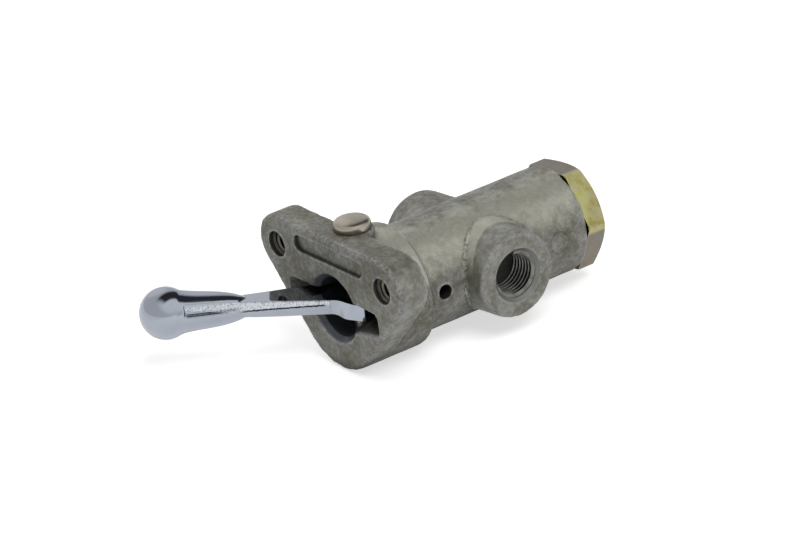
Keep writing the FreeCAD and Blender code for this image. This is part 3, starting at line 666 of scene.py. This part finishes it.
def outside_share(place):
    """1 on the cast skin, 0 in bores, holes and the slot and where other pieces seat."""
    across, depth, height = place / MM
    axis = math.hypot(across, height)
    machined = (
        depth > 1.0 and axis < CHAMBER_R,
        depth > 0.3 and axis < BORE_MOUTH_R + 0.1,
        math.hypot(depth - PORT_Y, height) < PORT_MOUTH_R + 0.2,
        math.hypot(abs(across) - HOLE_X, height - HOLE_Z) < HOLE_MOUTH_R + 0.2,
        math.hypot(across, depth - PIVOT_Y) < PIN_SEAT_R,
        across > 0 and math.hypot(depth - VENT_Y, height) < VENT_R + 0.2,
        0.4 < depth < SLOT_BACK_Y and abs(across) < SLOT_REACH and SLOT_BOTTOM < height < SLOT_TOP,
        depth > RIM_Y - 0.4,
    )
    return 0.0 if any(machined) else 1.0


def lump_share(place):
    """Rough lump that the casting has at the slot's upper edge."""
    across, depth, height = place / MM
    away = math.hypot((across - LUMP_X) / LUMP_WIDTH, (height - LUMP_Z) / LUMP_HEIGHT)
    return max(0.0, 1 - away) if depth < 0.5 else 0.0


def weigh(piece, name, share):
    """Vertex group with the weight that share gives for each vertex's place."""
    group = piece.vertex_groups.new(name=name)
    for vertex in piece.data.vertices:
        weight = share(vertex.co)
        if weight > 0:
            group.add([vertex.index], weight, "REPLACE")


def note_bend(piece, rounds):
    """Point attribute "bend": how far the surface turns there, outward edges above 0."""
    mesh = bmesh.new()
    mesh.from_mesh(piece.data)
    bend = [max((edge.calc_face_angle_signed(0) for edge in vertex.link_edges), key=abs)
            for vertex in mesh.verts]
    near = [[edge.other_vert(vertex).index for edge in vertex.link_edges] for vertex in mesh.verts]
    mesh.free()
    for _ in range(rounds):
        bend = [0.5 * own + 0.5 * sum(bend[index] for index in others) / len(others)
                for own, others in zip(bend, near)]
    attribute = piece.data.attributes.new("bend", "FLOAT", "POINT")
    attribute.data.foreach_set("value", bend)
    return bend


def weigh_skin(piece, name, bend, share):
    """Vertex group on the cast skin, with the weight that share gives for each vertex's bend."""
    outer = piece.vertex_groups["outside"].index
    group = piece.vertex_groups.new(name=name)
    for vertex, turn in zip(piece.data.vertices, bend):
        weight = share(turn)
        if weight > 0 and any(entry.group == outer for entry in vertex.groups):
            group.add([vertex.index], weight, "REPLACE")


def edge_share(turn):
    """The outward edges, which are chipped and rubbed."""
    return min(1.0, 2 * turn) if turn > 0.1 else 0.0


def curve_share(turn):
    """The gently curved skin, which loses the facets it was packed with."""
    return max(0.0, 1 - 4 * abs(turn))


def soften(piece, group, rounds):
    """Smooth the vertices of a group."""
    modifier = piece.modifiers.new(group, "SMOOTH")
    modifier.factor = 0.5
    modifier.iterations = rounds
    modifier.vertex_group = group


def push(piece, group, size, strength, middle=0.5, contrast=1.0, direction="NORMAL"):
    """Move a vertex group in and out by cloud noise. Size and strength are in millimetres."""
    texture = bpy.data.textures.new(group + "_clouds", "CLOUDS")
    texture.noise_scale = size * MM
    texture.noise_depth = 2
    texture.contrast = contrast
    modifier = piece.modifiers.new(group, "DISPLACE")
    modifier.texture = texture
    modifier.texture_coords = "LOCAL"
    modifier.vertex_group = group
    modifier.direction = direction
    modifier.strength = strength * MM
    modifier.mid_level = middle


def cast_copy(node, detail):
    """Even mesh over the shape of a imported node, its sharp edges kept."""
    deselect()
    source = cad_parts[node]
    piece = bpy.data.objects.new(node + "_skin", source.data.copy())
    bpy.context.collection.objects.link(piece)
    make_active(piece)
    bpy.ops.object.mode_set(mode="EDIT")
    bpy.ops.mesh.select_all(action="SELECT")
    bpy.ops.mesh.remove_doubles(threshold=1e-6)
    bpy.ops.object.mode_set(mode="OBJECT")
    remesh = piece.modifiers.new("Even Mesh", "REMESH")
    remesh.mode = "SHARP"
    remesh.octree_depth = 8
    remesh.scale = detail
    remesh.use_remove_disconnected = False
    apply_modifiers(piece)
    return piece


def helical_ridge(root_r, crest_r, pitch, turns, taper=0.0, steps=40):
    """Internal thread as a closed ridge wound about Z, running down from Z = 0."""
    deselect()
    bpy.ops.mesh.primitive_circle_add(vertices=6, radius=pitch / 3, location=(0, 0, 0))
    ridge = bpy.context.object
    flank = 0.47 * pitch
    profile = [(root_r + 0.04, -flank), (root_r + 0.04, flank), (root_r - 0.05, flank - 0.02)]
    profile += [(crest_r, 0.07 * pitch), (crest_r, -0.07 * pitch), (root_r - 0.05, 0.02 - flank)]
    for vertex, (radius, height) in zip(ridge.data.vertices, profile):
        vertex.co = Vector((radius, 0, height)) * MM
    screw = ridge.modifiers.new("Wind", "SCREW")
    screw.axis = "Z"
    screw.screw_offset = pitch * MM
    screw.iterations = turns
    screw.steps = steps
    screw.render_steps = steps
    apply_modifiers(ridge)
    bpy.ops.object.mode_set(mode="EDIT")
    bpy.ops.mesh.select_all(action="SELECT")
    bpy.ops.mesh.remove_doubles(threshold=1e-7)
    bpy.ops.mesh.select_all(action="DESELECT")
    bpy.ops.mesh.select_non_manifold()
    bpy.ops.mesh.edge_face_add()
    bpy.ops.mesh.select_all(action="SELECT")
    bpy.ops.mesh.normals_make_consistent(inside=False)
    bpy.ops.object.mode_set(mode="OBJECT")
    low = min(vertex.co.z for vertex in ridge.data.vertices)
    for vertex in ridge.data.vertices:
        vertex.co.z -= low
        shrink = 1 - taper * vertex.co.z / (root_r * MM)
        vertex.co.x *= shrink
        vertex.co.y *= shrink
    bpy.ops.object.shade_smooth_by_angle(angle=math.radians(35))
    return ridge


def polish(piece, name, share, rounds):
    """Smooth away the facets and edges of the vertices that share picks."""
    weigh(piece, name, share)
    soften(piece, name, rounds)


def finish_copy(piece):
    """Shade a reworked copy and drop the groups that shaped it."""
    bpy.ops.object.shade_smooth_by_angle(angle=SMOOTH_ANGLE)
    piece.vertex_groups.clear()


def along_lever(place):
    """Distance along the lever from its pivot, in millimetres, negative towards the ball."""
    return (place.x * math.sin(LEVER_TURN) + (place.y - PIVOT_Y * MM) * math.cos(LEVER_TURN)) / MM


def share_between(value, none, full):
    """0 at none and beyond it, 1 at full, straight between them."""
    return min(1.0, max(0.0, (value - none) / (full - none)))


def forged_share(place):
    """The ball and neck of the lever, which are forged round."""
    return share_between(along_lever(place), -16.0, -24.0)


def underside_share(place):
    """The neck's lower half, where the sheared flats run out."""
    low = share_between(place.z / MM, 1.5, 0.9)
    along = along_lever(place)
    return low * share_between(along, -22.0, -25.0) * share_between(along, -39.5, -37.5)


def blank_share(place):
    """The whole lever but its cam."""
    return share_between(along_lever(place), -8.0, -10.0)


def head_share(place):
    """The pin's head."""
    return share_between(place.z / MM, HEAD_Z, HEAD_Z + 0.4)


def dome_head(piece):
    """Raise the middle of the pin's head into a low dome."""
    for vertex in piece.data.vertices:
        away = math.hypot(vertex.co.x, vertex.co.y - PIVOT_Y * MM) / (HEAD_R * MM)
        lift = share_between(vertex.co.z / MM, HEAD_Z + 0.3, HEAD_TOP)
        vertex.co.z += lift * max(0.0, 1 - away * away) * HEAD_DOME * MM


class CastFinish(PropertyGroup):
    """Colours of the body casting."""

    cast_dark: FloatVectorProperty(
        name="Dark Skin", description="Darker tone of the dull casting",
        subtype="COLOR", size=4, min=0, max=1, default=srgb(116, 116, 108),
    )
    cast_light: FloatVectorProperty(
        name="Light Skin", description="Lighter tone of the dull casting",
        subtype="COLOR", size=4, min=0, max=1, default=srgb(152, 152, 147),
    )
    cast_stain: FloatVectorProperty(
        name="Stain", description="Olive tone of the stained patches",
        subtype="COLOR", size=4, min=0, max=1, default=srgb(100, 96, 74),
    )
    cast_worn: FloatVectorProperty(
        name="Worn Edge", description="Bright metal where edges are rubbed",
        subtype="COLOR", size=4, min=0, max=1, default=srgb(186, 185, 194),
    )


class ThreadSizes(PropertyGroup):
    """Threads cut in the body."""

    port_pitch: FloatProperty(
        name="Port Pitch", description="Pitch of the pipe thread in millimetres",
        min=0.4, max=2.0, default=0.941,
    )
    port_crest: FloatProperty(
        name="Port Crest Radius", description="Radius inside the pipe thread in millimetres",
        min=3.0, max=5.0, default=4.4,
    )
    port_turns: IntProperty(
        name="Port Turns", description="Full turns of the pipe thread", min=2, max=8, default=7,
    )
    hole_pitch: FloatProperty(
        name="Screw Pitch", description="Pitch of the mounting screws in millimetres",
        min=0.4, max=1.5, default=0.794,
    )
    hole_crest: FloatProperty(
        name="Screw Crest Radius", description="Radius inside the screw thread in millimetres",
        min=1.5, max=2.3, default=1.98,
    )
    hole_turns: IntProperty(
        name="Screw Turns", description="Full turns of the screw thread", min=2, max=8, default=6,
    )


class StudioSettings(PropertyGroup):
    """Where the camera stands and how the valve is lit."""

    azimuth: FloatProperty(
        name="Azimuth", description="Camera's turn round the valve, 0 looking along +Y",
        subtype="ANGLE", unit="ROTATION", default=math.radians(55.84),
    )
    elevation: FloatProperty(
        name="Elevation", description="Camera's height above the horizon",
        subtype="ANGLE", unit="ROTATION", default=math.radians(24.235),
    )
    roll: FloatProperty(
        name="Roll", description="Camera's lean",
        subtype="ANGLE", unit="ROTATION", default=math.radians(6.94),
    )
    distance: FloatProperty(
        name="Distance", description="From the camera to the valve's front face",
        subtype="DISTANCE", unit="LENGTH", default=1.0,
    )
    lens: FloatProperty(
        name="Focal Length", description="Lens for a sensor 36 mm wide",
        subtype="DISTANCE_CAMERA", min=20, max=400, default=220.5,
    )
    aside: FloatProperty(
        name="Aside", description="Camera's shift to the right of the front face's centre",
        subtype="DISTANCE", unit="LENGTH", default=0.0135,
    )
    over: FloatProperty(
        name="Over", description="Camera's shift above the front face's centre",
        subtype="DISTANCE", unit="LENGTH", default=0.00862,
    )
    world_light: FloatProperty(
        name="World Light", description="Strength of the white surroundings",
        min=0, max=2, default=0.3,
    )
    key_light: FloatProperty(
        name="Key Light", description="Power of the main lamp",
        subtype="POWER", min=0, max=20, default=4.4,
    )


def place_camera(studio):
    """Camera at the picture's angle, leaning by the roll."""
    azimuth, elevation, roll = studio.azimuth, studio.elevation, studio.roll
    level = math.cos(elevation)
    back = Vector((math.sin(azimuth) * level, -math.cos(azimuth) * level, math.sin(elevation)))
    level_right = Vector((math.cos(azimuth), math.sin(azimuth), 0))
    level_up = back.cross(level_right)
    right = math.cos(roll) * level_right - math.sin(roll) * level_up
    up = math.sin(roll) * level_right + math.cos(roll) * level_up
    data = bpy.data.cameras.new("camera")
    data.lens = studio.lens
    data.sensor_width = 36
    data.clip_start = 0.05
    data.clip_end = 20
    camera = bpy.data.objects.new("camera", data)
    bpy.context.collection.objects.link(camera)
    turn = Matrix((right, up, back)).transposed().to_4x4()
    place = studio.distance * back + studio.aside * right + studio.over * up
    camera.matrix_world = Matrix.Translation(place) @ turn
    bpy.context.scene.camera = camera


def add_lamp(name, power, place):
    """Round soft lamp that no mirror shows, turned to the valve."""
    data = bpy.data.lights.new(name, "AREA")
    data.energy = power
    data.shape = "DISK"
    data.size = LAMP_SIZE
    lamp = bpy.data.objects.new(name, data)
    bpy.context.collection.objects.link(lamp)
    lamp.location = place
    lamp.rotation_mode = "QUATERNION"
    lamp.rotation_quaternion = (Vector(LAMP_AIM) - Vector(place)).to_track_quat("-Z", "Y")
    lamp.visible_glossy = False


def ray_kinds(graph):
    """1 for what the camera sees, and 1 for what a mirror or glass shows of the surroundings."""
    path = graph.add("ShaderNodeLightPath").outputs
    return path["Is Camera Ray"], graph.either(path["Is Glossy Ray"], path["Is Transmission Ray"])


def heading(azimuth, elevation):
    """Direction at an azimuth from +Y towards +X and a height above the horizon, in degrees."""
    turn, rise = math.radians(azimuth), math.radians(elevation)
    return (math.sin(turn) * math.cos(rise), math.cos(turn) * math.cos(rise), math.sin(rise))


GAP_TOWARDS = heading(-8, 0)
GAP_ACROSS = heading(82, 0)
PANEL_TOWARDS = heading(-76, 36)
RIGHT_TOWARDS = heading(80, 55)


def make_world(studio):
    """White studio. Mirrors see a greyer ceiling, a dark gap behind the valve and bright panels."""
    world = bpy.data.worlds.new("studio")
    world.use_nodes = True
    world.node_tree.nodes.clear()
    bpy.context.scene.world = world
    graph = Graph(world.node_tree)
    direction = graph.add("ShaderNodeTexCoord").outputs["Generated"]
    height = graph.add("ShaderNodeSeparateXYZ", {0: direction}).outputs["Z"]
    across = graph.math("ABSOLUTE", graph.vector("DOT_PRODUCT", direction, GAP_ACROSS))
    behind = graph.vector("DOT_PRODUCT", direction, GAP_TOWARDS)
    gap = graph.both(graph.below(across, 0.2, 0.42), graph.above(height, 0.22, 0.42))
    gap = graph.both(gap, graph.above(behind, -0.5, 0.0))
    panel = graph.above(graph.vector("DOT_PRODUCT", direction, PANEL_TOWARDS), 0.88, 0.98)
    ceiling = graph.above(height, 0.0, 0.2)
    tone = graph.mix(ceiling, (1, 1, 1, 1), (0.66, 0.66, 0.67, 1))
    tone = graph.mix(panel, tone, (0.85, 0.85, 0.86, 1))
    right = graph.above(graph.vector("DOT_PRODUCT", direction, RIGHT_TOWARDS), 0.6, 0.95)
    right = graph.both(right, ceiling)
    tone = graph.mix(right, tone, (0.95, 0.95, 0.95, 1))
    tone = graph.mix(gap, tone, (0.04, 0.04, 0.045, 1))
    seen, mirrored = ray_kinds(graph)
    tone = graph.mix(mirrored, (1, 1, 1, 1), tone)
    strength = graph.blend(graph.either(seen, mirrored), studio.world_light, 1.0)
    light = graph.add("ShaderNodeBackground", {"Color": tone, "Strength": strength})
    output = graph.add("ShaderNodeOutputWorld")
    graph.feed(output.inputs["Surface"], light.outputs[0])


def make_floor():
    """Plain pale floor just under the valve."""
    deselect()
    low = LOADED_BOX[0][2]
    bpy.ops.mesh.primitive_plane_add(size=8, location=(0, 0, low - 0.0001))
    floor = bpy.context.object
    floor.name = "studio_floor"
    material = bpy.data.materials.new("studio_floor")
    material.use_nodes = True
    material.node_tree.nodes.clear()
    graph = Graph(material.node_tree)
    lit = graph.add("ShaderNodeBsdfDiffuse", {"Color": (0.8, 0.8, 0.8, 1)})
    seen, mirrored = ray_kinds(graph)
    lift = graph.either(graph.scaled(seen, 0.62), graph.scaled(mirrored, 0.36))
    glow = graph.add("ShaderNodeEmission", {"Color": (1, 1, 1, 1), "Strength": lift})
    total = graph.add("ShaderNodeAddShader", {0: lit.outputs[0], 1: glow.outputs[0]})
    output = graph.add("ShaderNodeOutputMaterial")
    graph.feed(output.inputs["Surface"], total.outputs[0])
    floor.data.materials.append(material)


class AIRVALVE_OT_stage(Operator):
    """Add the floor, the lamps and the camera"""

    bl_idname = "airvalve.stage"
    bl_label = "Studio"

    def execute(self, context):
        studio = context.scene.airvalve_studio
        make_floor()
        make_world(studio)
        add_lamp("panel", PANEL_SHARE * studio.key_light, Vector(PANEL_TOWARDS) * PANEL_AWAY)
        add_lamp("key", studio.key_light, KEY_PLACE)
        place_camera(studio)
        context.scene.view_settings.view_transform = "Standard"
        return {"FINISHED"}


class AIRVALVE_OT_effects(Operator):
    """Build the node groups that the finishes share"""

    bl_idname = "airvalve.effects"
    bl_label = "Finish Effects"

    def execute(self, context):
        build_mottle_group()
        build_edge_group()
        build_axis_group()
        build_skin_group()
        build_hollow_shade_group()
        build_scuff_group()
        return {"FINISHED"}


class AIRVALVE_OT_body(Operator):
    """Make the body casting with its uneven skin"""

    bl_idname = "airvalve.body"
    bl_label = "Body Casting"

    def execute(self, context):
        piece = cast_copy("valve_body", 0.6)
        weigh(piece, "outside", outside_share)
        weigh(piece, "lump", lump_share)
        bend = note_bend(piece, 2)
        weigh_skin(piece, "edges", bend, edge_share)
        weigh_skin(piece, "curves", bend, curve_share)
        soften(piece, "curves", 14)
        soften(piece, "outside", 1)
        push(piece, "outside", 3.0, 0.07)
        push(piece, "outside", 0.9, 0.03)
        push(piece, "edges", 1.3, 0.16, 1.0, 2.5)
        push(piece, "lump", 0.7, -1.3, 0.0, 1.0, "Y")
        apply_modifiers(piece)
        finish_copy(piece)
        metal = cast_material(context.scene.airvalve_cast)
        settle(piece, "valve_casting", "housing", metal)
        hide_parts("valve_body")
        return {"FINISHED"}


class AIRVALVE_OT_threads(Operator):
    """Cut the threads of both ports and both mounting holes"""

    bl_idname = "airvalve.threads"
    bl_label = "Threads"

    def execute(self, context):
        sizes = context.scene.airvalve_threads
        metal = thread_material("pipe_thread", srgb(140, 141, 138), srgb(110, 110, 102))
        dull = thread_material("screw_thread", srgb(122, 120, 106), srgb(98, 96, 82))
        for name, side in (("delivery_port_thread", 1), ("supply_port_thread", -1)):
            ridge = helical_ridge(
                PORT_BORE_R, sizes.port_crest, sizes.port_pitch, sizes.port_turns, PIPE_TAPER, 48
            )
            turn = Matrix.Rotation(-side * math.pi / 2, 4, "Y")
            place = Vector((side * PORT_THREAD_X, PORT_Y, 0)) * MM
            ridge.matrix_world = Matrix.Translation(place) @ turn
            settle(ridge, name, "housing", metal)
        for name, side in (("right_hole_thread", 1), ("left_hole_thread", -1)):
            ridge = helical_ridge(HOLE_R, sizes.hole_crest, sizes.hole_pitch, sizes.hole_turns)
            turn = Matrix.Rotation(-math.pi / 2, 4, "X")
            place = Vector((side * HOLE_X, HOLE_THREAD_Y, HOLE_Z)) * MM
            ridge.matrix_world = Matrix.Translation(place) @ turn
            settle(ridge, name, "housing", dull)
        return {"FINISHED"}


class AIRVALVE_OT_lever(Operator):
    """Chrome the control lever"""

    bl_idname = "airvalve.lever"
    bl_label = "Control Lever"

    def execute(self, context):
        piece = cast_copy("control_lever", 0.9)
        polish(piece, "forged", forged_share, 12)
        polish(piece, "underside", underside_share, 40)
        polish(piece, "edges", blank_share, 2)
        apply_modifiers(piece)
        finish_copy(piece)
        settle(piece, "chromed_lever", "lever", chrome_material())
        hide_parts("control_lever")
        return {"FINISHED"}


class AIRVALVE_OT_hardware(Operator):
    """Plate the pivot pin and the cap nut"""

    bl_idname = "airvalve.hardware"
    bl_label = "Pin and Nut"

    def execute(self, context):
        pin = plated_material("pin_plate", srgb(184, 177, 162), srgb(168, 158, 146), 0.27)
        piece = cast_copy("pivot_pin", 0.9)
        polish(piece, "head", head_share, 90)
        apply_modifiers(piece)
        dome_head(piece)
        finish_copy(piece)
        settle(piece, "riveted_pin", "housing", pin)
        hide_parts("pivot_pin")
        dress("cap_nut", nut_material())
        return {"FINISHED"}


class AIRVALVE_OT_inner(Operator):
    """Finish the pieces inside the body"""

    bl_idname = "airvalve.inner"
    bl_label = "Inner Pieces"

    def execute(self, context):
        brass = plated_material("turned_brass", srgb(150, 128, 84), srgb(118, 100, 66), 0.3)
        steel = plated_material("spring_wire", srgb(150, 150, 148), srgb(120, 120, 118), 0.3)
        rubber = rubber_material()
        for node in ("plunger", "inlet_seat", "valve_holder"):
            dress(node, brass)
        for node in ("return_spring", "inlet_spring", "spring_washer"):
            dress(node, steel)
        for node in ("plunger_head_seal", "plunger_stem_seal", "valve_disc", "cap_nut_seal"):
            dress(node, rubber)
        return {"FINISHED"}


STEPS = ("effects", "body", "threads", "lever", "hardware", "inner", "stage")


class AIRVALVE_PT_panel(Panel):
    """Lists the valve's pieces and settings"""

    bl_label = "Air Valve"
    bl_idname = "AIRVALVE_PT_panel"
    bl_space_type = "VIEW_3D"
    bl_region_type = "UI"
    bl_category = "Air Valve"

    def draw(self, context):
        layout = self.layout
        for step in STEPS:
            layout.operator("airvalve." + step)
        for group in ("airvalve_cast", "airvalve_threads", "airvalve_studio"):
            settings = getattr(context.scene, group)
            box = layout.box()
            for name in settings.__annotations__:
                box.prop(settings, name)


CLASSES = (
    CastFinish,
    ThreadSizes,
    StudioSettings,
    AIRVALVE_OT_effects,
    AIRVALVE_OT_body,
    AIRVALVE_OT_threads,
    AIRVALVE_OT_lever,
    AIRVALVE_OT_hardware,
    AIRVALVE_OT_inner,
    AIRVALVE_OT_stage,
    AIRVALVE_PT_panel,
)


def register():
    for entry in CLASSES:
        bpy.utils.register_class(entry)
    bpy.types.Scene.airvalve_cast = PointerProperty(type=CastFinish)
    bpy.types.Scene.airvalve_threads = PointerProperty(type=ThreadSizes)
    bpy.types.Scene.airvalve_studio = PointerProperty(type=StudioSettings)


def unregister():
    del bpy.types.Scene.airvalve_studio
    del bpy.types.Scene.airvalve_threads
    del bpy.types.Scene.airvalve_cast
    for entry in reversed(CLASSES):
        bpy.utils.unregister_class(entry)


def main():
    register()
    for step in STEPS:
        getattr(bpy.ops.airvalve, step)()


if __name__ == "__main__":
    main()
